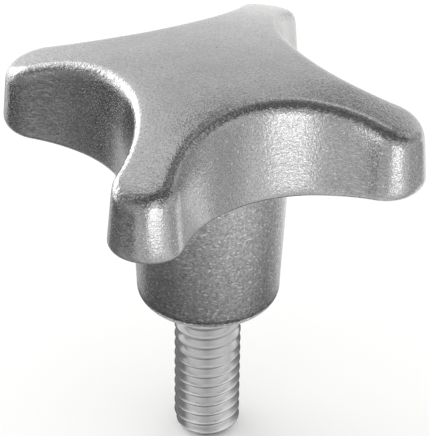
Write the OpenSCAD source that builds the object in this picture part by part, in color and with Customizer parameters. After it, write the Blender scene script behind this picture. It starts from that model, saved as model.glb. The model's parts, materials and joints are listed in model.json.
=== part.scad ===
// Cross knob: a cast four-armed palm grip with a domed crown and a drafted hub, and a threaded stud
// screwed and bonded into a blind hole in the hub. The origin is the centre of the hub's seating face,
// +Z runs up the axis to the crown and +X along one arm.

/* [Head] */
// Distance across two opposite arm tips
span = 50; // [46:0.5:70]
// Radius of an arm tip, seen from above
tip_r = 4.2; // [3.5:0.1:5.5]
// Thickness of the head at the axis
head_h = 12.7; // [11:0.1:18]
// Radius of the domed crown
crown_r = 64; // [50:1:200]
// Draft of the flanks, in degrees
flank_draft = 5; // [0:0.5:8]
// Radius of the rim between a flank and the crown, in the middle of a hollow
rim_r = 1.35; // [0.5:0.05:1.8]
// Radius of the rim at an arm tip
tip_rim_r = 2; // [0.5:0.05:2.4]
// Radius of the lower edge in the middle of a hollow flank
flank_edge_r = 0.8; // [0.3:0.1:1.4]
// Radius of the lower edge at an arm tip
tip_edge_r = 1.4; // [0.3:0.1:2]
// Rise of the underside at the arm tips
tip_rise = 0.5; // [0:0.1:1.5]

/* [Hub] */
// Height from the seating face to the underside of the arms
hub_h = 18.9; // [16:0.1:40]
// Diameter at the seating face, before the edge is rounded
hub_d = 16.7; // [14:0.1:20]
// Draft of the hub, in degrees
hub_draft = 2.7; // [0:0.1:4]
// Radius of the lower edge
hub_edge_r = 2; // [0.5:0.1:2.4]
// Width of the ledge between the hub and the hollow flanks
ledge = 2.55; // [1.5:0.05:5]
// Radius of the fillet between the hub and the ledge
root_r = 1.2; // [0.4:0.1:1.5]

/* [Stud] */
// Nominal diameter of the thread, five sixteenths of an inch
thread_d = 7.94; // [6:0.01:9.5]
// Pitch of the thread, eighteen turns to the inch
thread_pitch = 1.411; // [0.7:0.001:1.6]
// Free length below the seating face
stud_l = 19.05; // [10:0.05:60]
// Length screwed into the hub
stud_hold = 14; // [8:0.5:16]
// Chamfer at both ends
stud_chamfer = 1.25; // [0.4:0.05:1.8]

/* [Fit] */
// Radial gap of the bonded thread, filled by the adhesive
bond_gap = 0.02; // [0.01:0.01:0.05]
// Depth of the hole past the end of the stud
hole_spare = 2; // [0.5:0.5:4]
// Point angle of the drilled hole, in degrees
drill_angle = 118; // [90:1:140]

/* [Hidden] */
$fn = 128;

// Steps along an arc of the outline, an even number, and along the lower edge, the rim and a turned edge
outline_steps = 16;
edge_steps = 4;
rim_steps = 5;
turned_steps = 8;
// Rings of the underside and of the crown
under_rings = 4;
crown_rings = 5;
// Room by which cuts and roots run past the face that they cross
past = 0.05;

// The hollow flanks keep a ledge round the root of the hub
hub_root_r = hub_d / 2 + hub_h * tan(hub_draft);
waist = hub_root_r + ledge;
under_flat_r = waist + ledge;
reach = span / 2;
top = hub_h + head_h;
hub_top = hub_h + head_h / 4;
crown_z = top - crown_r;

// Each hollow arc is tangent to the tip arcs on either side of it
tip_c = reach - tip_r;
hollow_r = (waist ^ 2 - sqrt(2) * tip_c * waist + tip_c ^ 2 - tip_r ^ 2)
         / (sqrt(2) * tip_c + 2 * tip_r - 2 * waist);
hollow_c = (waist + hollow_r) / sqrt(2);
tip_turn = atan2(hollow_c, hollow_c - tip_c);

// The screwed end is drawn at the pitch diameter, which lies below the major one by a share of the pitch
pitch_drop = 0.6495;
hold_r = (thread_d - pitch_drop * thread_pitch) / 2;
hole_r = hold_r + bond_gap;
hole_depth = stud_hold + hole_spare;
// The thread runs out in a cone, which the countersunk mouth of the hole follows at the same gap
mouth_r = thread_d / 2 + bond_gap * sqrt(2);

function heading(a) = [cos(a), sin(a)];
function turned(v, a) = [v.x * cos(a) - v.y * sin(a), v.x * sin(a) + v.y * cos(a)];
function arc(centre, r, from, to, steps) =
    [for (i = [0 : steps]) centre + r * heading(from + (to - from) * i / steps)];

// Outline of the head where it is widest, as pairs of a point and its outward normal
arm_outline = concat(
    [for (i = [0 : outline_steps - 1])
        let (n = heading(tip_turn * (2 * i / outline_steps - 1)))
        [[tip_c, 0] + tip_r * n, n]],
    [for (i = [0 : outline_steps - 1])
        let (n = heading(tip_turn + (90 - 2 * tip_turn) * i / outline_steps))
        [[hollow_c, hollow_c] - hollow_r * n, n]]);
outline = [for (arm = [0 : 3]) for (p = arm_outline) [turned(p[0], 90 * arm), turned(p[1], 90 * arm)]];

function under_z(r) = hub_h + tip_rise * (max(r - under_flat_r, 0) / (reach - under_flat_r)) ^ 2;
function dome_z(r) = crown_z + sqrt(crown_r ^ 2 - r ^ 2);

// One section of the head, square to the outline at p: the lower edge, the drafted flank and a rim
// that is tangent to both the flank and the dome
function section(p, n) =
    let (
        out = p * n,
        tipward = ((norm(p) - waist) / (reach - waist)) ^ 2,
        edge = flank_edge_r + (tip_edge_r - flank_edge_r) * tipward,
        rim = rim_r + (tip_rim_r - rim_r) * tipward,
        edge_z = under_z(norm(p - edge * n)) + edge,
        slope = tan(flank_draft),
        dome_r = sqrt(crown_r ^ 2 - norm(p) ^ 2 + out ^ 2) - rim,
        start = out - edge + (edge - rim) / cos(flank_draft) + slope * (edge_z - crown_z),
        rim_h = (start * slope + sqrt((1 + slope ^ 2) * dome_r ^ 2 - start ^ 2)) / (1 + slope ^ 2),
        rim_out = start - slope * rim_h,
        profile = concat(
            arc([out - edge, edge_z], edge, -90, flank_draft, edge_steps),
            arc([rim_out, crown_z + rim_h], rim, flank_draft, atan2(rim_h, rim_out), rim_steps)))
    [for (q = profile) [each p + (q.x - out) * n, q.y]];

// The rings of the underside and the crown run in to a spine along the arms, because the arms are widest
// at their tips. Both sides of an arm share its spine points, and the four spines meet on the axis
spine_steps = outline_steps / 2;
spine = concat(
    [for (arm = [0 : 3]) for (k = [0 : spine_steps - 1]) turned([tip_c * (1 - k / spine_steps), 0], 90 * arm)],
    [[0, 0]]);
function spine_at(i) =
    let (arm = floor(i / (2 * outline_steps)), k = max(i % (2 * outline_steps) - outline_steps, 0))
    k < spine_steps ? arm * spine_steps + k :
    k == spine_steps ? 4 * spine_steps : (arm + 1) % 4 * spine_steps + outline_steps - k;
function inward(i, p, share) = let (xy = [p.x, p.y]) xy + (spine[spine_at(i)] - xy) * share;
function on_under(xy) = [each xy, under_z(norm(xy))];
function on_dome(xy) = [each xy, dome_z(norm(xy))];

// The head as rings of points, from the spine of the underside over the rim to the spine of the crown
sections = [for (p = outline) section(p[0], p[1])];
sides = len(outline);
side_rings = len(sections[0]);
head_rings = concat(
    [for (k = [under_rings : -1 : 1])
        [for (i = [0 : sides - 1]) on_under(inward(i, sections[i][0], k / (under_rings + 1)))]],
    [for (k = [0 : side_rings - 1]) [for (s = sections) s[k]]],
    [for (k = [1 : crown_rings])
        [for (i = [0 : sides - 1]) on_dome(inward(i, sections[i][side_rings - 1], k / (crown_rings + 1)))]]);
ring_count = len(head_rings);

module head() {
    points = concat(
        [for (ring = head_rings) each ring],
        [for (xy = spine) on_under(xy)],
        [for (xy = spine) on_dome(xy)]);
    last = (ring_count - 1) * sides;
    low = ring_count * sides;
    high = low + len(spine);
    bands = [for (k = [0 : ring_count - 2]) for (i = [0 : sides - 1])
        let (j = (i + 1) % sides, a = k * sides, b = a + sides)
        each [[a + i, b + j, a + j], [a + i, b + i, b + j]]];
    fans = [for (i = [0 : sides - 1])
        let (j = (i + 1) % sides, a = spine_at(i))
        each [[low + a, i, j], [high + a, last + j, last + i]]];
    spine_gaps = [for (i = [0 : sides - 1])
        let (j = (i + 1) % sides, a = spine_at(i), b = spine_at(j))
        if (a != b) each [[low + a, j, low + b], [high + a, high + b, last + j]]];
    polyhedron(points, concat(bands, fans, spine_gaps));
}

module hub() {
    slope = tan(hub_draft);
    root = min(root_r, ledge - flank_edge_r - past);
    root_z = hub_h - root + past;
    edge_x = hub_d / 2 + hub_edge_r * (slope - 1 / cos(hub_draft));
    root_x = hub_d / 2 + root_z * slope + root / cos(hub_draft);
    rotate_extrude()
        polygon(concat(
            [[0, 0]],
            arc([edge_x, hub_edge_r], hub_edge_r, -90, -hub_draft, turned_steps),
            arc([root_x, root_z], root, 180 - hub_draft, 90, turned_steps),
            [[root_x, hub_top], [0, hub_top]]));
}

module stud_hole() {
    translate([0, 0, -past])
        cylinder(r = hole_r, h = hole_depth + past);
    translate([0, 0, -past])
        cylinder(r1 = mouth_r + past, r2 = hole_r, h = mouth_r + past - hole_r);
    translate([0, 0, hole_depth])
        cylinder(r1 = hole_r, r2 = 0, h = hole_r / tan(drill_angle / 2));
}

module cross_grip() {
    color([0.64, 0.64, 0.63])
        difference() {
            union() {
                head();
                hub();
            }
            stud_hole();
        }
}

module threaded_stud() {
    r = thread_d / 2;
    color([0.74, 0.74, 0.73])
        rotate_extrude()
            polygon([
                [0, -stud_l],
                [r - stud_chamfer, -stud_l],
                [r, stud_chamfer - stud_l],
                [r, 0],
                [hold_r, r - hold_r],
                [hold_r, stud_hold - stud_chamfer],
                [hold_r - stud_chamfer, stud_hold],
                [0, stud_hold]]);
}

cross_grip();
threaded_stud();
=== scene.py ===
# Cross knob: a tumbled cast steel palm grip on a threaded stud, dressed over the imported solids
import json
import math
import bmesh
import bpy
import numpy
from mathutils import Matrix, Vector, noise


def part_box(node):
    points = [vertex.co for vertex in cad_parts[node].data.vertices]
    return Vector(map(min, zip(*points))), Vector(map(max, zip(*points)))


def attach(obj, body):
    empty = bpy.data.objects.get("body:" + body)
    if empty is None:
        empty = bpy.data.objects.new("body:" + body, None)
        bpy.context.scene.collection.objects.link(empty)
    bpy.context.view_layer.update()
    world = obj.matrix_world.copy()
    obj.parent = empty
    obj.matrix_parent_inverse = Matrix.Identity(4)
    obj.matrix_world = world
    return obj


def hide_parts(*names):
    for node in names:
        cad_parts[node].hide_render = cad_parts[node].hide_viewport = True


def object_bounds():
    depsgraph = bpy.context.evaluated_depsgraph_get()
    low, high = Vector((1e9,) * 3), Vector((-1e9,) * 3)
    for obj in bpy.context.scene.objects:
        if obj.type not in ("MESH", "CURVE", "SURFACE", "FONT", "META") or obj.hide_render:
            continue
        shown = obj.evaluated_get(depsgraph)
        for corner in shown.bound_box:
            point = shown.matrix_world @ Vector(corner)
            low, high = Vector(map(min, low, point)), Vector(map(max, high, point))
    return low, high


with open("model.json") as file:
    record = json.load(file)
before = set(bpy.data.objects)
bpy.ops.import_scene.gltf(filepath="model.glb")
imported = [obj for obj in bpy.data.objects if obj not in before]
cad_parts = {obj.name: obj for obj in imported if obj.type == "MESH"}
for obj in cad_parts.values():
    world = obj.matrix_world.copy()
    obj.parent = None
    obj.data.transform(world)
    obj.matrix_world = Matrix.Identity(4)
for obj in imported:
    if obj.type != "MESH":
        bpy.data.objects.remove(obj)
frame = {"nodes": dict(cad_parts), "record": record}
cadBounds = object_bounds()
scene = bpy.context.scene
scene.view_settings.view_transform = "Standard"
mm = 0.001
joinWithin = 1e-7                            # metres
mixUnder, mixOver, mixResult = 6, 7, 2       # the sockets of a colour mix
print("frame loaded:", sorted(frame["nodes"]))


def linearColour(hexValue):
    channels = [int(hexValue[i:i + 2], 16) / 255 for i in (1, 3, 5)]
    linear = [c / 12.92 if c <= 0.04045 else ((c + 0.055) / 1.055) ** 2.4 for c in channels]
    return (*linear, 1)


def addNode(tree, kind, settings=None, links=None):
    node = tree.nodes.new(kind)
    for key, value in (settings or {}).items():
        if isinstance(key, int) or key in node.inputs:
            node.inputs[key].default_value = value
        else:
            setattr(node, key, value)
    for key, source in (links or {}).items():
        tree.links.new(source, node.inputs[key])
    return node


def ramp(tree, value, span, low=0.0, high=1.0):
    # the two ends of the span become low and high, which are held past them
    limits = {"From Min": span[0], "From Max": span[1], "To Min": low, "To Max": high}
    return addNode(tree, "ShaderNodeMapRange", limits, {"Value": value}).outputs[0]


def mathOf(tree, operation, first, second):
    return addNode(tree, "ShaderNodeMath", {"operation": operation}, {0: first, 1: second}).outputs[0]


def newMaterial(name):
    material = bpy.data.materials.new(name)
    material.use_nodes = True
    return material, material.node_tree, material.node_tree.nodes["Principled BSDF"]


def arcPoints(centre, radius, start, end, steps):
    # angles in degrees, points in the plane of a section
    turns = [math.radians(start + (end - start) * i / steps) for i in range(steps + 1)]
    return [(centre[0] + radius * math.cos(a), centre[1] + radius * math.sin(a)) for a in turns]


def between(start, end, steps, crowding=1):
    # points inside a straight run, its two ends left out; crowding above 1 moves them towards the start
    shares = [(i / steps) ** crowding for i in range(1, steps)]
    return [tuple(a + (b - a) * s for a, b in zip(start, end)) for s in shares]


def eased(points, spread, step=0.1):
    # a run of points after its bends are spread out along it, as tumbling does; its two ends stay
    points = numpy.array(points)
    lengths = numpy.linalg.norm(numpy.diff(points, axis=0), axis=1)
    along = numpy.concatenate([[0], numpy.cumsum(lengths)])
    even = numpy.linspace(0, along[-1], max(round(along[-1] / step), 2) + 1)
    run = numpy.stack([numpy.interp(even, along, points[:, axis]) for axis in range(3)], axis=1)
    # the squares of the spreads add up, and one pass spreads by half a squared step
    for _ in range(round(2 * (spread / step) ** 2)):
        run[1:-1] = (run[:-2] + 2 * run[1:-1] + run[2:]) / 4
    return [tuple(float(numpy.interp(a, even, run[:, axis])) for axis in range(3)) for a in along]


def addPiece(name, mesh, material):
    piece = bpy.data.objects.new(name, mesh)
    scene.collection.objects.link(piece)
    mesh.materials.append(material)
    return piece


def closedSkin(name, columns, sharpRings=()):
    # columns of points in millimetres stand side by side round the axis, and points that fall together
    # are joined
    count, rings = len(columns), len(columns[0])
    bm = bmesh.new()
    grid = [[bm.verts.new(Vector(p) * mm) for p in column] for column in columns]
    for i in range(count):
        here, beside = grid[i], grid[(i + 1) % count]
        for k in range(rings - 1):
            bm.faces.new((here[k], here[k + 1], beside[k + 1], beside[k])).smooth = True
        for k in sharpRings:
            bm.edges.get((here[k], beside[k])).smooth = False
    bmesh.ops.remove_doubles(bm, verts=bm.verts, dist=joinWithin)
    bmesh.ops.recalc_face_normals(bm, faces=bm.faces)
    mesh = bpy.data.meshes.new(name)
    bm.to_mesh(mesh)
    bm.free()
    return mesh


# Tumbled cast stainless steel: grey, satin and slightly patchy, with a fine peened grain that breaks up
# every reflection, short hairlines from the tumbling media and a few open casting pits.
# Sizes and depths are in millimetres. A span says where a noise value, or the upward lean of the skin
# (1 faces up), starts to count and where it counts in full
castSteel = {
    "face": "#c2c2c2", "worn": "#cbcbcb", "hollow": "#acacac", "pit": "#6e6e6e", "wearAndPaintedGlint": "#fafafa",
    "roughness": 0.14, "patchRoughness": 0.04,
    "patch": 3.2, "patchSpan": (0.3, 0.7), "wornSpan": (0.35, 0.68),
    # the grain, drawn a little coarse so that it shows, and dull specks in the colour
    "grain": 0.32, "grainDepth": 0.030, "fine": 0.16, "fineDepth": 0.009,
    "speck": 0.19, "dullSpan": (0.56, 0.3),
    # shares left where hands and tumbling wore the crown
    "crownGrain": 0.95, "crownGlints": 0.25, "crownLean": (0.5, 0.95),
    # the rim is dented by other castings, which frays its highlights
    "fray": 0.5, "frayDepth": 0.095, "rimFoot": (0.15, 0.4), "rimTop": (0.92, 0.75),
    # marks of a sanding belt that ran round the flanks
    "sandLength": 2.4, "sandWidth": 0.5, "sandDepth": 0.014,
    # hairlines, laid in three crossing directions; their shine share paints them near white, partly brighter
    # scratched steel and partly a painted highlight
    "hairLength": 1.1, "hairWidth": 0.1, "hairDepth": 0.008, "hairShine": 0.4, "hairSpan": (0.69, 0.78),
    "hairTurns": ((20, 10, 15), (-35, 25, 70), (10, -40, 130)),
    # open pits, and bright flats where the media struck, painted near white as painted glints; a spot is
    # full over the core share of its width
    "pitSpacing": 3.4, "pitWidth": 0.16, "pitDepth": 0.05, "pitLeast": 0.45,
    "glintSpacing": 0.8, "glintWidth": 0.14, "glintLeast": 0.5,
    "spotCore": 0.4,
    # the hub is less tumbled than the head: mottled, with short bright scuffs round it, painted near white
    # as painted glints
    "hubTop": 17.5, "hubFade": 1, "hubHollow": "#9e9e9e", "mottleSpan": (0.56, 0.36),
    "scuffLength": 0.5, "scuffWidth": 0.24, "scuffShine": 0.8, "scuffSpan": (0.6, 0.7),
}


def tumbledCastSteel(look):
    material, tree, shader = newMaterial("tumbled cast stainless steel")
    place = addNode(tree, "ShaderNodeTexCoord").outputs["Object"]

    def speckle(scale, detail, vector=place):
        settings = {"Scale": scale, "Detail": detail}
        return addNode(tree, "ShaderNodeTexNoise", settings, {"Vector": vector}).outputs[0]

    grain = speckle(1 / (look["grain"] * mm), 2)
    fine = speckle(1 / (look["fine"] * mm), 1)
    speck = speckle(1 / (look["speck"] * mm), 1)
    patch = speckle(1 / (look["patch"] * mm), 3)
    normal = addNode(tree, "ShaderNodeNewGeometry").outputs["Normal"]
    lean = addNode(tree, "ShaderNodeSeparateXYZ", None, {0: normal}).outputs["Z"]
    rawness = ramp(tree, lean, look["crownLean"], 1.0, look["crownGrain"])
    unworn = ramp(tree, lean, look["crownLean"], 1.0, look["crownGlints"])
    rim = mathOf(tree, "MULTIPLY", ramp(tree, lean, look["rimFoot"]), ramp(tree, lean, look["rimTop"]))
    frayed = speckle(1 / (look["fray"] * mm), 2)
    long, thin = 1 / (look["sandLength"] * mm), 1 / (look["sandWidth"] * mm)
    belt = addNode(tree, "ShaderNodeMapping", {"Scale": (long, long, thin)}, {"Vector": place})
    sanded = speckle(1, 1, belt.outputs[0])
    # a hairline is noise drawn out along one way and kept only where it peaks
    long, thin = 1 / (look["hairLength"] * mm), 1 / (look["hairWidth"] * mm)
    hairs = None
    for turn in look["hairTurns"]:
        laid = addNode(tree, "ShaderNodeMapping", {
            "Rotation": [math.radians(a) for a in turn], "Scale": (long, thin, thin)}, {"Vector": place})
        peak = ramp(tree, speckle(1, 0, laid.outputs[0]), look["hairSpan"])
        hairs = peak if hairs is None else mathOf(tree, "MAXIMUM", hairs, peak)

    def spots(spacing, width, least):
        # one spot in each cell, and only in the cells whose random value is above the least
        cells = addNode(tree, "ShaderNodeTexVoronoi", {"Scale": 1 / (spacing * mm)}, {"Vector": place})
        edge = width / spacing
        spot = ramp(tree, cells.outputs["Distance"], (edge, edge * look["spotCore"]))
        chosen = addNode(tree, "ShaderNodeMath", {"operation": "GREATER_THAN", 1: least},
                         {0: cells.outputs["Color"]})
        return mathOf(tree, "MULTIPLY", spot, chosen.outputs[0])

    pits = spots(look["pitSpacing"], look["pitWidth"], look["pitLeast"])
    struckFlatsAndPaintedGlints = spots(look["glintSpacing"], look["glintWidth"], look["glintLeast"])
    # painted glints: the struck flats, the hairlines and the hub's scuffs are painted near white, partly
    # brighter worn steel and partly a painted highlight
    hairlinesAndPaintedGlints = addNode(tree, "ShaderNodeMath", {"operation": "MULTIPLY", 1: look["hairShine"]}, {0: hairs})
    wearAndPaintedGlints = mathOf(tree, "MAXIMUM", struckFlatsAndPaintedGlints, hairlinesAndPaintedGlints.outputs[0])
    wearAndPaintedGlints = mathOf(tree, "MULTIPLY", wearAndPaintedGlints, unworn)

    height = addNode(tree, "ShaderNodeSeparateXYZ", None, {0: place}).outputs["Z"]
    hubSpan = [(look["hubTop"] + fade) * mm for fade in (look["hubFade"], -look["hubFade"])]
    onHub = ramp(tree, height, hubSpan)
    mottle = mathOf(tree, "MULTIPLY", ramp(tree, grain, look["mottleSpan"]), onHub)
    long, thin = 1 / (look["scuffLength"] * mm), 1 / (look["scuffWidth"] * mm)
    laid = addNode(tree, "ShaderNodeMapping", {"Scale": (long, long, thin)}, {"Vector": place})
    scuffsAndPaintedGlints = ramp(tree, speckle(1, 1, laid.outputs[0]), look["scuffSpan"], 0.0, look["scuffShine"])
    wearAndPaintedGlints = mathOf(tree, "MAXIMUM", wearAndPaintedGlints, mathOf(tree, "MULTIPLY", scuffsAndPaintedGlints, onHub))

    # colour: patches of slightly brighter steel, duller in the hollows of the grain and dark in the pits
    def tinted(share, under, over):
        tint = addNode(tree, "ShaderNodeMix", {"data_type": "RGBA", mixOver: linearColour(over)}, {0: share})
        if isinstance(under, str):
            tint.inputs[mixUnder].default_value = linearColour(under)
        else:
            tree.links.new(under, tint.inputs[mixUnder])
        return tint.outputs[mixResult]

    dull = mathOf(tree, "MULTIPLY", ramp(tree, speck, look["dullSpan"]), rawness)
    steel = tinted(ramp(tree, patch, look["wornSpan"]), look["face"], look["worn"])
    steel = tinted(dull, steel, look["hollow"])
    steel = tinted(mottle, steel, look["hubHollow"])
    # the painted glints: near-white spots and streaks laid into the colour
    steel = tinted(wearAndPaintedGlints, steel, look["wearAndPaintedGlint"])
    tree.links.new(tinted(pits, steel, look["pit"]), shader.inputs["Base Color"])
    half = look["patchRoughness"] / 2
    rough = ramp(tree, patch, look["patchSpan"], look["roughness"] - half, look["roughness"] + half)
    tree.links.new(rough, shader.inputs["Roughness"])
    shader.inputs["Metallic"].default_value = 1
    # relief from coarse to fine, each with its own depth
    relief = None
    for height, depth, share in (
            (sanded, look["sandDepth"], rawness),
            (frayed, look["frayDepth"], rim),
            (grain, look["grainDepth"], rawness),
            (fine, look["fineDepth"], rawness),
            (hairs, -look["hairDepth"], rawness),
            (pits, -look["pitDepth"], rawness)):
        links = {"Height": height, "Strength": share}
        if relief is not None:
            links["Normal"] = relief
        bump = addNode(tree, "ShaderNodeBump", {"Distance": abs(depth) * mm, "invert": depth < 0}, links)
        relief = bump.outputs[0]
    tree.links.new(relief, shader.inputs["Normal"])
    return material


# Rolled stainless steel thread: brighter and smoother than the casting, with faint marks round the axis.
# Sizes and depths are in millimetres
studSteel = {
    # crest and root are painted darker tones: painted shade in the roots, a painted dark reflection on the
    # crests
    "flank": "#dcdcdc", "crest": "#acacac", "root": "#909090",
    # the crests and the roots are painted darker, as painted shade in the roots and a painted dark
    # reflection on the crests: where this starts, and where it is full
    "crestPaintedDarkZone": (0.05, 0.05 / 3), "rootPaintedShadeZone": (0.1, 0.05),
    "roughness": 0.21, "patchRoughness": 0.04, "patchSpan": (0.3, 0.7),
    "grain": 0.3, "grainDepth": 0.002,
    "drawMark": 0.12, "drawLength": 1.6, "drawDepth": 0.009,
}


def rolledSteel(look, crestRadius, rootRadius):
    material, tree, shader = newMaterial("rolled stainless steel thread")
    place = addNode(tree, "ShaderNodeTexCoord").outputs["Object"]
    parts = addNode(tree, "ShaderNodeSeparateXYZ", None, {0: place})
    flat = addNode(tree, "ShaderNodeCombineXYZ", None, {"X": parts.outputs["X"], "Y": parts.outputs["Y"]})
    length = addNode(tree, "ShaderNodeVectorMath", {"operation": "LENGTH"}, {0: flat.outputs[0]})
    radius = length.outputs["Value"]
    crestPaintedDark = ramp(tree, radius, [(crestRadius - zone) * mm for zone in look["crestPaintedDarkZone"]])
    rootPaintedShade = ramp(tree, radius, [(rootRadius + zone) * mm for zone in look["rootPaintedShadeZone"]])
    grain = addNode(tree, "ShaderNodeTexNoise", {"Scale": 1 / (look["grain"] * mm), "Detail": 2.0},
                    {"Vector": place}).outputs[0]
    # painted shade in the roots and a painted dark reflection on the crests, mixed into the colour
    steel = addNode(tree, "ShaderNodeMix", {
        "data_type": "RGBA", mixUnder: linearColour(look["flank"]), mixOver: linearColour(look["root"])},
        {0: rootPaintedShade})
    steel = addNode(tree, "ShaderNodeMix", {"data_type": "RGBA", mixOver: linearColour(look["crest"])},
                    {0: crestPaintedDark, mixUnder: steel.outputs[mixResult]})
    tree.links.new(steel.outputs[mixResult], shader.inputs["Base Color"])
    half = look["patchRoughness"] / 2
    rough = ramp(tree, grain, look["patchSpan"], look["roughness"] - half, look["roughness"] + half)
    tree.links.new(rough, shader.inputs["Roughness"])
    shader.inputs["Metallic"].default_value = 1
    long, thin = 1 / (look["drawLength"] * mm), 1 / (look["drawMark"] * mm)
    drawn = addNode(tree, "ShaderNodeMapping", {"Scale": (long, long, thin)}, {"Vector": place})
    marks = addNode(tree, "ShaderNodeTexNoise", {"Scale": 1.0, "Detail": 1.0}, {"Vector": drawn.outputs[0]})
    soft = addNode(tree, "ShaderNodeBump", {"Distance": look["grainDepth"] * mm}, {"Height": grain})
    relief = addNode(tree, "ShaderNodeBump", {"Distance": look["drawDepth"] * mm},
                     {"Height": marks.outputs[0], "Normal": soft.outputs[0]})
    tree.links.new(relief.outputs[0], shader.inputs["Normal"])
    return material


# The grip: sizes in millimetres and degrees, its reach and crown height from the frame
gripForm = {
    "tipRadius": 4.2, "crownRadius": 64, "flankDraft": 5, "rimRadius": 1.25, "tipRim": 1.2,
    "rimSpread": 0.42, "tipSpread": 0.8,     # how far tumbling spread the bend of the rim
    "flankEdge": 0.8, "tipEdge": 1.4, "tipRise": 0.5,
    "hubHeight": 18.9, "hubWidth": 16.7, "hubDraft": 2.7, "hubEdge": 2, "ledge": 2.55, "rootRadius": 1.2,
    # the hole that the stud fills: room round the stud at its mouth, how far its wall lies inside the
    # stud's crests, and the heights where the countersink, the wall and the drill point end
    "mouthGap": 0.03, "wallDrop": 0.43, "sinkTop": 0.46, "wallTop": 16, "drillTop": 18.1,
    # columns along one arm tip and one hollow, then steps along the runs of a column
    "tipSteps": 40, "hollowSteps": 56,
    "crownSteps": 18, "rimSteps": 12, "flankSteps": 16, "edgeSteps": 8, "ledgeSteps": 12,
    "filletSteps": 8, "hubSteps": 16, "footSteps": 10, "seatSteps": 4,
    "crownCrowding": 1.6, "flankCrowding": 1.4,        # above 1, closer together near the rim
    # a casting is never quite true, except on the seat and in the hole, which are cut
    "waviness": 0.05, "waveLength": 5.0, "ripple": 0.012, "rippleLength": 1.7, "seed": 11,
    "cutHeight": 0.6, "cutFade": 2, "holeRadius": 5, "holeTop": 19,
}


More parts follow.
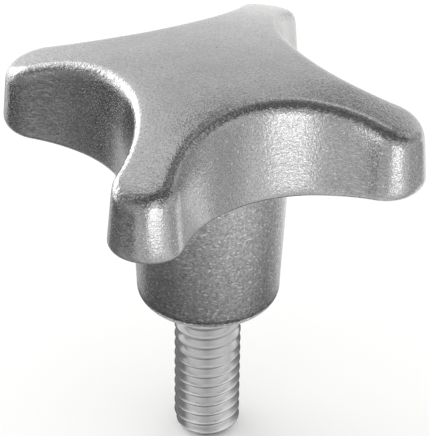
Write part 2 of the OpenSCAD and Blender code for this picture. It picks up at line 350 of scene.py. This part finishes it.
def gripColumns(form, studRadius):
    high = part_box("cross_grip")[1]
    reach, top = high.x / mm, high.z / mm
    hubSlope = math.tan(math.radians(form["hubDraft"]))
    slope = math.tan(math.radians(form["flankDraft"]))
    draftCos = math.cos(math.radians(form["flankDraft"]))
    waist = form["hubWidth"] / 2 + form["hubHeight"] * hubSlope + form["ledge"]
    flatRadius = waist + form["ledge"]
    crownZ = top - form["crownRadius"]
    # each hollow is one arc, tangent to the tips on both sides
    tipR, tipC = form["tipRadius"], reach - form["tipRadius"]
    hollowR = (waist ** 2 - math.sqrt(2) * tipC * waist + tipC ** 2 - tipR ** 2) / (
        math.sqrt(2) * tipC + 2 * tipR - 2 * waist)
    hollowC = (waist + hollowR) / math.sqrt(2)
    tipTurn = math.atan2(hollowC, hollowC - tipC)

    def underZ(r):
        return form["hubHeight"] + form["tipRise"] * (max(r - flatRadius, 0) / (reach - flatRadius)) ** 2

    def domeZ(r):
        return crownZ + math.sqrt(form["crownRadius"] ** 2 - r ** 2)

    # hub section from the ledge down to the seat, then into the hole
    hubR, rootR, edgeR = form["hubWidth"] / 2, form["rootRadius"], form["hubEdge"]
    hubCos = math.cos(math.radians(form["hubDraft"]))
    rootZ = form["hubHeight"] - rootR
    rootX = hubR + rootZ * hubSlope + rootR / hubCos
    edgeX = hubR + edgeR * (hubSlope - 1 / hubCos)
    fillet = arcPoints((rootX, rootZ), rootR, 90, 180 - form["hubDraft"], form["filletSteps"])
    foot = arcPoints((edgeX, edgeR), edgeR, -form["hubDraft"], -90, form["footSteps"])
    mouth = (studRadius + form["mouthGap"], 0)
    hub = fillet + between(fillet[-1], foot[0], form["hubSteps"]) + foot
    hub += between(foot[-1], mouth, form["seatSteps"])
    wallR = studRadius - form["wallDrop"]
    hole = [mouth, (wallR, form["sinkTop"]), (wallR, form["wallTop"]), (0, form["drillTop"])]

    def column(p, n, spine):
        out, far = p.dot(n), p.length
        tipward = ((far - waist) / (reach - waist)) ** 2
        edge = form["flankEdge"] + (form["tipEdge"] - form["flankEdge"]) * tipward
        rimR = form["rimRadius"] + (form["tipRim"] - form["rimRadius"]) * tipward
        edgeZ = underZ((p - edge * n).length) + edge
        domeR = math.sqrt(form["crownRadius"] ** 2 - far ** 2 + out ** 2) - rimR
        start = out - edge + (edge - rimR) / draftCos + slope * (edgeZ - crownZ)
        rimH = (start * slope + math.sqrt((1 + slope ** 2) * domeR ** 2 - start ** 2)) / (1 + slope ** 2)
        rimOut = start - slope * rimH
        brow = math.degrees(math.atan2(rimH, rimOut))
        rim = arcPoints((rimOut, crownZ + rimH), rimR, brow, form["flankDraft"], form["rimSteps"])
        lower = arcPoints((out - edge, edgeZ), edge, form["flankDraft"], -90, form["edgeSteps"])
        flank = between(rim[-1], lower[0], form["flankSteps"], form["flankCrowding"])
        side = [(*(p + (q[0] - out) * n), q[1]) for q in rim + flank + lower]
        inside = Vector(side[0][:2])
        # the crown runs from the arm's spine out to the rim
        shares = [(1 - i / form["crownSteps"]) ** form["crownCrowding"] for i in range(form["crownSteps"])]
        crown = [inside + (spine - inside) * share for share in shares]
        crown = [(q.x, q.y, domeZ(q.length)) for q in crown]
        last = len(crown) + len(rim) + len(flank) - 2
        shell = crown + side
        spread = form["rimSpread"] + (form["tipSpread"] - form["rimSpread"]) * tipward
        shell = eased(shell[:last], spread) + shell[last:]
        away = Vector(side[-1][:2]).normalized()
        inner = Vector(side[-1][:2]).length
        steps = form["ledgeSteps"]
        ledge = [away * (inner + (rootX - inner) * i / steps) for i in range(1, steps)]
        ledge = [(q.x, q.y, underZ(q.length)) for q in ledge]
        turned = [(away.x * r, away.y * r, z) for r, z in hub + hole]
        return shell + ledge + turned

    def spun(x, y, arm):
        return Vector([(x, y), (-y, x), (-x, -y), (y, -x)][arm])

    columns = []
    half = form["hollowSteps"] // 2
    for arm in range(4):
        for i in range(form["tipSteps"]):
            turn = tipTurn * (2 * i / form["tipSteps"] - 1)
            c, s = math.cos(turn), math.sin(turn)
            edgePoint = spun(tipC + tipR * c, tipR * s, arm)
            columns.append(column(edgePoint, spun(c, s, arm), spun(tipC, 0, arm)))
        for i in range(form["hollowSteps"]):
            turn = tipTurn + (math.pi / 2 - 2 * tipTurn) * i / form["hollowSteps"]
            c, s = math.cos(turn), math.sin(turn)
            edgePoint = spun(hollowC - hollowR * c, hollowC - hollowR * s, arm)
            # down this arm's spine to the axis, then out along the next
            along = tipC * abs(1 - i / half)
            spine = spun(along, 0, arm) if i <= half else spun(0, along, arm)
            columns.append(column(edgePoint, spun(c, s, arm), spine))
    return columns, len(columns[0]) - len(hole)


def settleCasting(mesh, form):
    # the cast skin sinks by a few hundredths of a millimetre
    shift = Vector((form["seed"], 2 * form["seed"], 3 * form["seed"]))
    normals = [v.normal.copy() for v in mesh.vertices]
    for v, normal in zip(mesh.vertices, normals):
        height = v.co.z / mm
        share = min(max((height - form["cutHeight"]) / form["cutFade"], 0), 1)
        inHole = v.co.xy.length / mm < form["holeRadius"] and height < form["holeTop"]
        if share == 0 or inHole:
            continue
        wave = noise.noise(v.co / (form["waveLength"] * mm) + shift) - 1
        ripple = noise.noise(v.co / (form["rippleLength"] * mm) - shift) - 1
        v.co += normal * share * mm * (form["waviness"] * wave + form["ripple"] * ripple) / 2


studRadius = next(m for m in frame["record"]["mounts"] if m["name"] == "stud")["dims"]["r_mm"]
columns, mouthRing = gripColumns(gripForm, studRadius)
gripMesh = closedSkin("castGrip", columns, (mouthRing,))
settleCasting(gripMesh, gripForm)
grip = addPiece("castGrip", gripMesh, tumbledCastSteel(castSteel))
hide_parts("cross_grip")
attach(grip, "root")
print("grip built:", len(gripMesh.vertices), "points")

# The stud: 18 turns to the inch, right-hand, with the rolled thread's rounded crests and roots
studForm = {
    "pitch": 1.411, "chamfer": 1.25, "flankAngle": 60,
    "depth": 0.613, "crest": 0.1, "crestRound": 0.11, "rootRound": 0.12,       # shares of the pitch
    "rowsPerTurn": 28, "columns": 112,
    # the end stays inside the solid's, the top is out of sight in the hub, and a ring lies on the flat end
    "endInset": 0.001, "hiddenHeights": (0.4, 0.2), "endRingShare": 0.5,
}


def studColumns(form, radius):
    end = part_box("threaded_stud")[0].z / mm + form["endInset"]
    pitch = form["pitch"]
    root = radius - form["depth"] * pitch
    rows = round(-end / pitch * form["rowsPerTurn"])
    flankSlope = math.tan(math.radians(form["flankAngle"]))

    def positive(value, rounding):
        # never below zero, with a rounded corner
        return (value + math.hypot(value, rounding)) / 2

    def flankAt(across):
        return positive((across - form["crest"] / 2) * flankSlope, form["crestRound"])

    def skin(turn, z):
        across = abs((z / pitch - turn / (2 * math.pi)) % 1 - 0.5)
        rise = positive(form["depth"] - flankAt(across) + flankAt(0), form["rootRound"])
        groove = max(form["depth"] - rise, 0)
        return min(radius - groove * pitch, radius - form["chamfer"] + (z - end))

    heights = [*form["hiddenHeights"], *(end * k / rows for k in range(rows + 1))]
    inner = (radius - form["chamfer"]) * form["endRingShare"]
    columns = []
    for i in range(form["columns"]):
        turn = 2 * math.pi * i / form["columns"]
        column = [(0, 0, heights[0])]
        for z in heights:
            r = root if z > 0 else skin(turn, z)
            column.append((r * math.cos(turn), r * math.sin(turn), z))
        endCap = [(inner * math.cos(turn), inner * math.sin(turn), end), (0, 0, end)]
        columns.append(column + endCap)
    return columns, len(columns[0]) - len(endCap) - 1, root


columns, endRing, rootRadius = studColumns(studForm, studRadius)
studMesh = closedSkin("threadedStud", columns, (endRing,))
stud = addPiece("threadedStud", studMesh, rolledSteel(studSteel, studRadius, rootRadius))
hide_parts("threaded_stud")
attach(stud, "root")
print("stud built:", len(studMesh.vertices), "points")

# The camera, as the photograph was taken, for a picture of 429 by 436; millimetres and degrees
photoCamera = {
    "place": (61.630, -187.218, 134.318), "turn": (57.884, -0.634, 18.430),
    "focalPixels": 2010.4, "width": 429, "sensor": 36, "clip": (5, 50000),
}
cameraData = bpy.data.cameras.new("photoCamera")
cameraData.sensor_fit = "HORIZONTAL"
cameraData.sensor_width = photoCamera["sensor"]
cameraData.lens = photoCamera["sensor"] * photoCamera["focalPixels"] / photoCamera["width"]
cameraData.clip_start, cameraData.clip_end = (c * mm for c in photoCamera["clip"])
camera = bpy.data.objects.new("photoCamera", cameraData)
camera.location = Vector(photoCamera["place"]) * mm
camera.rotation_euler = [math.radians(a) for a in photoCamera["turn"]]
scene.collection.objects.link(camera)
scene.camera = camera

# The studio: a white floor under a white sky, softboxes, and plain cards that only the metal reflects.
# Azimuths count from straight away from the camera, right is plus; levels are plain brightness, 1 is white.
# Distances are in millimetres. Lights and sky cards stand round the axis at the height of middle, and
# floorGap keeps the low cards off the floor
studio = {
    "floor": "#fafaf9", "floorSize": 6000, "sky": 1.0, "middle": 12, "cardDistance": 380, "floorGap": 0.4,
    "cardSteps": 24, "ringSteps": 72,
}
softboxes = {
    "leftSoftbox": {"azimuth": -63, "elevation": 18, "distance": 460, "size": (560, 350), "level": 1.3},
    "rightSoftbox": {"azimuth": 34, "elevation": 12, "distance": 460, "size": (300, 260), "level": 1.15},
}
skyCards = {
    "backGlow": {"azimuth": (-32, 16), "elevation": (-2, 10), "level": 0.98},
    "backGlowRight": {"azimuth": (16, 54), "elevation": (-4, 10), "level": 0.88},
    "backLow": {"azimuth": (-32, 54), "elevation": (10, 24), "level": 0.89},
    "backMiddle": {"azimuth": (-32, 18), "elevation": (24, 34), "level": 0.76},
    "backRight": {"azimuth": (18, 54), "elevation": (24, 33), "level": 0.76},
    "backHigh": {"azimuth": (-15, 18), "elevation": (34, 50), "level": 0.7},
    "backHighGlow": {"azimuth": (-36, -15), "elevation": (34, 50), "level": 1.0},
    "backHighLeft": {"azimuth": (-60, -36), "elevation": (37, 50), "level": 0.78},
    "backTop": {"azimuth": (-60, -5), "elevation": (50, 80), "level": 0.88},
    "browLine": {"azimuth": (18, 54), "elevation": (33, 46), "level": 0.2},
    "browStrip": {"azimuth": (18, 54), "elevation": (46, 62), "level": 0.9},
    "browShade": {"azimuth": (18, 54), "elevation": (62, 69), "level": 0.2},
    "crownShade": {"azimuth": (-5, 18), "elevation": (50, 69), "level": 0.22},
    "rightLow": {"azimuth": (54, 96), "elevation": (-3, 28), "level": 0.42},
    "rightMiddle": {"azimuth": (54, 96), "elevation": (28, 48), "level": 0.62},
    "rightHigh": {"azimuth": (54, 96), "elevation": (48, 69), "level": 0.16},
    "frontRightLow": {"azimuth": (96, 150), "elevation": (-3, 14), "level": 0.6},
    "frontRightHigh": {"azimuth": (96, 150), "elevation": (14, 69), "level": 0.15},
    "front": {"azimuth": (150, 195), "elevation": (-3, 69), "level": 0.17},
    "frontMiddle": {"azimuth": (195, 222), "elevation": (-3, 52), "level": 0.4},
    "frontLeftLow": {"azimuth": (222, 240), "elevation": (-3, 22), "level": 0.5},
    "frontLeftHigh": {"azimuth": (222, 240), "elevation": (22, 52), "level": 0.3},
    "frontTop": {"azimuth": (195, 240), "elevation": (52, 69), "level": 0.15},
    "frontLeft": {"azimuth": (240, 265), "elevation": (20, 69), "level": 0.22},
    "leftLow": {"azimuth": (240, 282), "elevation": (-3, 20), "level": 0.3},
    "leftEdge": {"azimuth": (-95, -84), "elevation": (20, 40), "level": 0.75},
    "leftFade": {"azimuth": (-84, -72), "elevation": (20, 40), "level": 1.12},
    "leftHigh": {"azimuth": (-95, -60), "elevation": (40, 69), "level": 0.6},
    "overhead": {"azimuth": (110, 300), "elevation": (69, 90), "level": 0.13},
    "overheadBack": {"azimuth": (-60, -5), "elevation": (80, 90), "level": 0.13},
    "overheadBrow": {"azimuth": (-5, 40), "elevation": (69, 90), "level": 0.13},
    "overheadRight": {"azimuth": (40, 110), "elevation": (69, 90), "level": 0.34},
}
floorCards = {
    "leftFar": {"azimuth": (-150, -95), "radius": (116, 350), "level": 0.02},
    "leftFarBack": {"azimuth": (-95, -64), "radius": (104, 168), "level": 0.09},
    "leftRiseEdge": {"azimuth": (-95, -80), "radius": (168, 350), "level": 0.5},
    "leftRise": {"azimuth": (-80, -64), "radius": (168, 350), "level": 1.15},
    "leftNear": {"azimuth": (-110, -95), "radius": (15, 116), "level": 0.24},
    "leftNearBack": {"azimuth": (-95, -64), "radius": (15, 104), "level": 0.2},
    "leftNearFront": {"azimuth": (-150, -110), "radius": (15, 116), "level": 0.36},
    "leftBack": {"azimuth": (-64, -20), "radius": (15, 128), "level": 0.58},
    "leftBackFar": {"azimuth": (-64, -20), "radius": (128, 350), "level": 1.35},
    "rightNear": {"azimuth": (38, 88), "radius": (15, 88), "level": 1.15},
    "rightFar": {"azimuth": (62, 88), "radius": (88, 350), "level": 0.42},
    "rightMiddleFar": {"azimuth": (88, 120), "radius": (15, 350), "level": 0.5},
    "glowEdgeRight": {"azimuth": (120, 139), "radius": (15, 350), "level": 0.8},
    "glow": {"azimuth": (139, 167), "radius": (142, 150), "level": 2.6},
    "glowMiddle": {"azimuth": (139, 167), "radius": (116, 142), "level": 1.45},
    "glowInner": {"azimuth": (139, 167), "radius": (104, 116), "level": 1.4},
    "glowNear": {"azimuth": (139, 167), "radius": (15, 104), "level": 0.75},
    "glowEdgeLeft": {"azimuth": (167, 176), "radius": (15, 350), "level": 0.85},
    "frontFar": {"azimuth": (176, 210), "radius": (15, 350), "level": 0.62},
    "underFront": {"azimuth": (150, 210), "radius": (4.4, 15), "level": 0.15},
    "underSides": {"azimuth": (-150, 150), "radius": (4.4, 15), "level": 0.2},
    "underSeat": {"azimuth": (0, 360), "radius": (4.2, 8), "height": 18.7, "level": 0.68},
}
# these stand on the floor in front, and the last two hang just before the front tip
standingCards = {
    "frontCard": {"azimuth": (125, 235), "distance": 150, "height": (0, 92), "level": 0.56},
    "glowCard": {"azimuth": (139, 167), "distance": 149, "height": (0, 22), "level": 2.3},
    "leftFrontCard": {"azimuth": (210, 268), "distance": 142, "height": (0, 60), "level": 0.3},
    "tipCardLow": {"azimuth": (177, 189), "distance": 33.5, "height": (38, 47), "level": 2.0},
    "tipCardHigh": {"azimuth": (177, 189), "distance": 33.5, "height": (47, 64), "level": 0.9},
}
# and these stand all round, as pairs of an azimuth and a level there: the hub sees the skirt and the stud
# sees the ring. The levels are multiplied by the first share at a card's foot and the second at its top
ringCards = {
    "skirtFoot": {"distance": 15, "height": (0, 13), "shares": (1, 1), "levels": ((-180, 0.1), (180, 0.1))},
    "skirt": {"distance": 15, "height": (13, 31), "shares": (0.69, 1.35), "levels": (
        (-180, 0.46), (-165, 0.35), (-150, 0.3), (-135, 0.22), (-110, 0.2), (-94, 0.24), (-84, 0.48),
        (-70, 0.68), (-20, 0.8), (20, 0.95), (56, 0.95), (66, 0.8), (80, 0.62), (92, 0.44), (105, 0.35),
        (120, 0.48), (135, 0.6), (160, 0.6), (180, 0.46))},
    "ring": {"distance": 9, "height": (0, 17.2), "shares": (1, 1), "levels": (
        (-180, 0.62), (-168, 0.72), (-150, 0.9), (-118, 0.9), (-102, 0.55), (-88, 0.16), (-66, 0.08),
        (-48, 0.2), (-30, 0.6), (0, 0.7), (30, 0.55), (46, 0.2), (60, 0.12), (78, 0.3), (97, 0.85),
        (130, 1.0), (160, 0.82), (180, 0.62))},
}
floorZ = cadBounds[0][2]
middle = Vector((0, 0, studio["middle"] * mm))
fullTurn = (-180, 180)


def partWay(ends, share):
    return ends[0] + (ends[1] - ends[0]) * share


def heading(azimuth):
    # the camera looks along this heading at azimuth 0
    turn = math.radians(photoCamera["turn"][2] + 90 - azimuth)
    return Vector((math.cos(turn), math.sin(turn), 0))


def outward(azimuth, elevation):
    rise = math.radians(elevation)
    return heading(azimuth) * math.cos(rise) + Vector((0, 0, math.sin(rise)))


def overFloor(distance, azimuth, height):
    return distance * mm * heading(azimuth) + Vector((0, 0, floorZ + height * mm))


def reflectionCard(name, level, pointAt, steps=studio["cardSteps"]):
    # only reflections see it: it throws no light or shadow and is in no picture. A level that changes over
    # the card is a function of the shares along it and up it
    shares = [i / steps for i in range(steps + 1)]
    bm = bmesh.new()
    grid = [[bm.verts.new(pointAt(u, v)) for v in shares] for u in shares]
    for i in range(steps):
        for j in range(steps):
            bm.faces.new((grid[i][j], grid[i + 1][j], grid[i + 1][j + 1], grid[i][j + 1]))
    mesh = bpy.data.meshes.new(name)
    bm.to_mesh(mesh)
    bm.free()
    material, tree, shader = newMaterial(name)
    shader.inputs["Base Color"].default_value = (0, 0, 0, 1)
    shader.inputs["Specular IOR Level"].default_value = 0
    shader.inputs["Emission Color"].default_value = (1, 1, 1, 1)
    if callable(level):
        values = mesh.attributes.new("level", "FLOAT", "POINT")
        for value, (u, v) in zip(values.data, [(u, v) for u in shares for v in shares]):
            value.value = level(u, v)
        stored = addNode(tree, "ShaderNodeAttribute", {"attribute_name": "level"})
        tree.links.new(stored.outputs["Fac"], shader.inputs["Emission Strength"])
    else:
        shader.inputs["Emission Strength"].default_value = level
    card = addPiece(name, mesh, material)
    card.visible_camera = False
    card.visible_diffuse = False
    card.visible_shadow = False


for name, card in skyCards.items():
    reflectionCard(name, card["level"], lambda u, v: middle + studio["cardDistance"] * mm * outward(
        partWay(card["azimuth"], u), partWay(card["elevation"], v)))
for name, card in floorCards.items():
    reflectionCard(name, card["level"], lambda u, v: overFloor(
        partWay(card["radius"], v), partWay(card["azimuth"], u), card.get("height", studio["floorGap"])))
for name, card in standingCards.items():
    reflectionCard(name, card["level"], lambda u, v: overFloor(
        card["distance"], partWay(card["azimuth"], u), partWay(card["height"], v)))
for name, card in ringCards.items():
    turns, levels = zip(*card["levels"])
    reflectionCard(
        name,
        lambda u, v: numpy.interp(partWay(fullTurn, u), turns, levels) * partWay(card["shares"], v),
        lambda u, v: overFloor(card["distance"], partWay(fullTurn, u), partWay(card["height"], v)),
        studio["ringSteps"])
for name, box in softboxes.items():
    lamp = bpy.data.lights.new(name, "AREA")
    lamp.shape = "RECTANGLE"
    lamp.size, lamp.size_y = (s * mm for s in box["size"])
    lamp.energy = math.pi * lamp.size * lamp.size_y * box["level"]
    holder = bpy.data.objects.new(name, lamp)
    facing = outward(box["azimuth"], box["elevation"])
    holder.location = middle + facing * box["distance"] * mm
    holder.rotation_euler = facing.to_track_quat("Z", "Y").to_euler()
    holder.visible_camera = False
    scene.collection.objects.link(holder)

floorMaterial, _, floorShader = newMaterial("white studio floor")
floorShader.inputs["Base Color"].default_value = linearColour(studio["floor"])
floorShader.inputs["Roughness"].default_value = 1
floorShader.inputs["Specular IOR Level"].default_value = 0
half = studio["floorSize"] * mm / 2
corners = [(x * half, y * half, floorZ) for x, y in ((-1, -1), (1, -1), (1, 1), (-1, 1))]
floorMesh = bpy.data.meshes.new("studioFloor")
floorMesh.from_pydata(corners, [], [(0, 1, 2, 3)])
addPiece("studioFloor", floorMesh, floorMaterial)

world = bpy.data.worlds.new("whiteSky")
world.use_nodes = True
sky = world.node_tree.nodes["Background"]
sky.inputs["Color"].default_value = (1, 1, 1, 1)
sky.inputs["Strength"].default_value = studio["sky"]
scene.world = world
cardCount = len(skyCards) + len(floorCards) + len(standingCards) + len(ringCards)
print("studio set:", len(softboxes), "softboxes and", cardCount, "cards")
